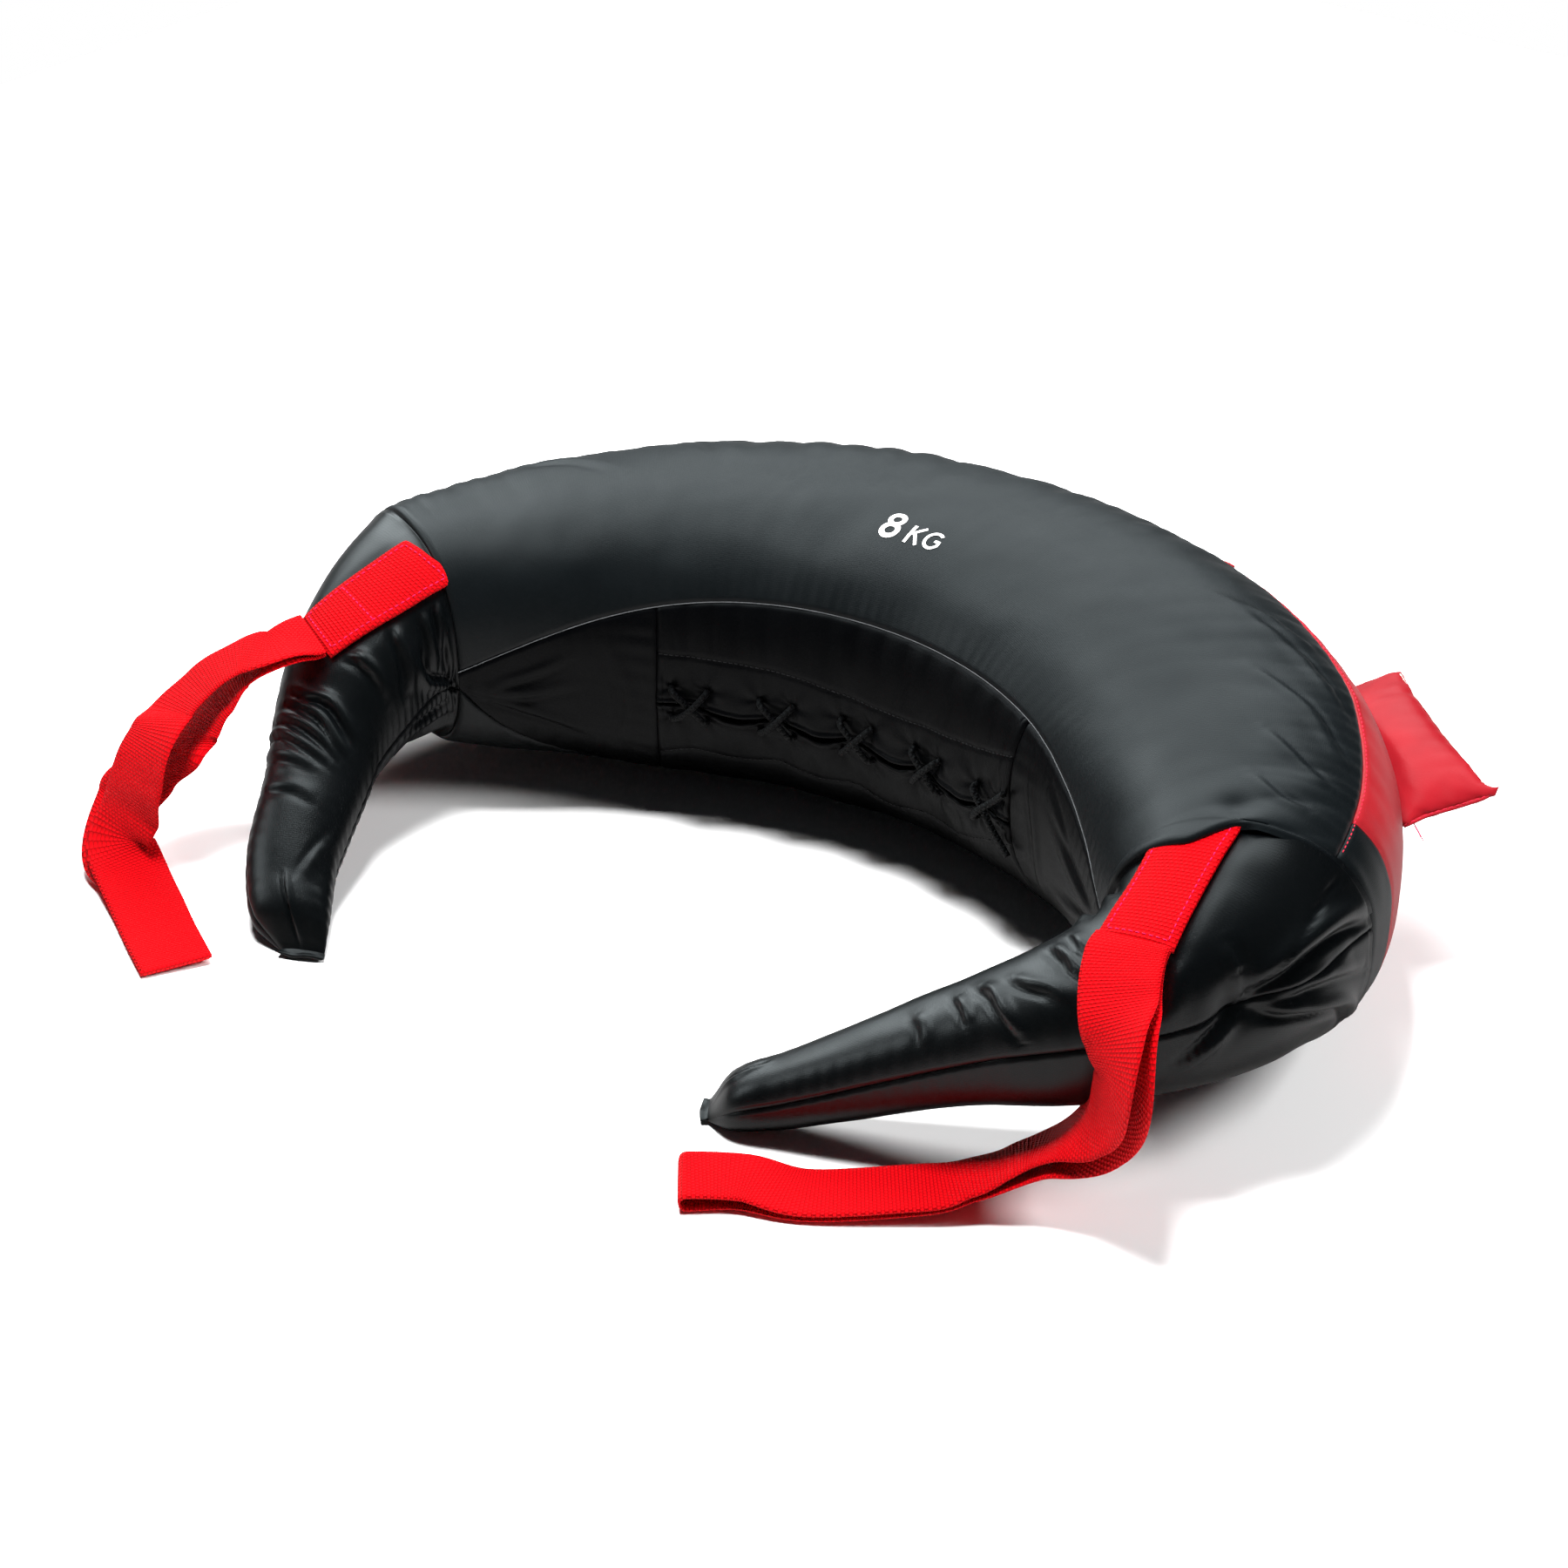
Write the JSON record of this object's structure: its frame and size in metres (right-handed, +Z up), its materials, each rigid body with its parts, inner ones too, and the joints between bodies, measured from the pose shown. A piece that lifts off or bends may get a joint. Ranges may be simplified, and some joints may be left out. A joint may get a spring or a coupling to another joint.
{
  "type": "bulgarian bag",
  "caption": "Crescent-shaped filled training bag with tapering horns, webbing loop grips, padded fins on its back and a laced filling opening.",
  "frame": {"origin": "on the floor under the middle of the belly, where the bag rests", "axes": "+X to the end with the longer horn, +Y to the convex back, +Z up"},
  "size_m": [0.7012, 0.5973, 0.1878],
  "materials": {
    "black_vinyl": "matte PVC vinyl with a fine woven grain",
    "red_vinyl": "satin PVC vinyl",
    "red_webbing": "coarse woven webbing",
    "magenta_thread": "sewing thread",
    "black_cord": "round braided cord",
    "black_lining": "matte lining cloth",
    "wool_wadding": "loose fibre wadding",
    "sand_bag_cloth": "plain weave cloth",
    "foam": "open foam"
  },
  "bodies": {
    "belly": {"top_panel": "black_vinyl", "back_panel": "red_vinyl", "bottom_panel": "black_vinyl", "gusset_left": "black_vinyl", "gusset_right": "black_vinyl", "placket_upper": "black_vinyl", "placket_lower": "black_vinyl", "lacing_tongue": "black_lining", "lace": "black_cord", "wadding_left": "wool_wadding", "wadding_middle": "wool_wadding", "wadding_right": "wool_wadding", "sand_bag_left": "sand_bag_cloth", "sand_bag_middle": "sand_bag_cloth", "sand_bag_right": "sand_bag_cloth"},
    "horn_left": {"horn_upper_left": "black_vinyl", "horn_under_left": "black_vinyl", "horn_core_left": "wool_wadding", "strap_patch_left": "red_webbing", "strap_stitching_left": "magenta_thread"},
    "strap_left": {"strap_loop_left": "red_webbing"},
    "horn_right": {"horn_upper_right": "black_vinyl", "horn_under_right": "black_vinyl", "horn_core_right": "wool_wadding", "strap_patch_right": "red_webbing", "strap_stitching_right": "magenta_thread"},
    "strap_right": {"strap_loop_right": "red_webbing"},
    "fin_left": {"fin_cover_left": "red_vinyl", "fin_foam_left": "foam"},
    "fin_middle": {"fin_cover_middle": "red_vinyl", "fin_foam_middle": "foam"},
    "fin_right": {"fin_cover_right": "red_vinyl", "fin_foam_right": "foam"}
  },
  "joints": [
    {"name": "horn_left_bend", "type": "hinge", "parent": "belly", "child": "horn_left", "pos_m": [-0.2807, -0.17711, 0.095], "axis": [0, 0, 1], "range_deg": [-8, 8], "stiffness_Nm_per_rad": 6},
    {"name": "horn_right_bend", "type": "hinge", "parent": "belly", "child": "horn_right", "pos_m": [0.2807, -0.17711, 0.095], "axis": [0, 0, 1], "range_deg": [-8, 8], "stiffness_Nm_per_rad": 6},
    {"name": "strap_left_lift", "type": "hinge", "parent": "horn_left", "child": "strap_left", "pos_m": [-0.28221, -0.25117, 0.11865], "axis": [-0.9244, 0.357, 0.1344], "range_deg": [0, 70]},
    {"name": "strap_right_lift", "type": "hinge", "parent": "horn_right", "child": "strap_right", "pos_m": [0.27526, -0.26069, 0.13255], "axis": [-0.983, -0.1526, -0.1022], "range_deg": [0, 70]},
    {"name": "fin_left_flap", "type": "hinge", "parent": "belly", "child": "fin_left", "pos_m": [-0.23933, 0.02434, 0.09165], "axis": [0.7583, 0.6519, 0.0023], "range_deg": [-35, 22], "stiffness_Nm_per_rad": 0.6},
    {"name": "fin_middle_flap", "type": "hinge", "parent": "belly", "child": "fin_middle", "pos_m": [0, 0.1102, 0.093], "axis": [1, 0, 0], "range_deg": [-35, 22], "stiffness_Nm_per_rad": 0.6},
    {"name": "fin_right_flap", "type": "hinge", "parent": "belly", "child": "fin_right", "pos_m": [0.23933, 0.02434, 0.09165], "axis": [0.7583, -0.6519, -0.0023], "range_deg": [-35, 22], "stiffness_Nm_per_rad": 0.6}
  ]
}
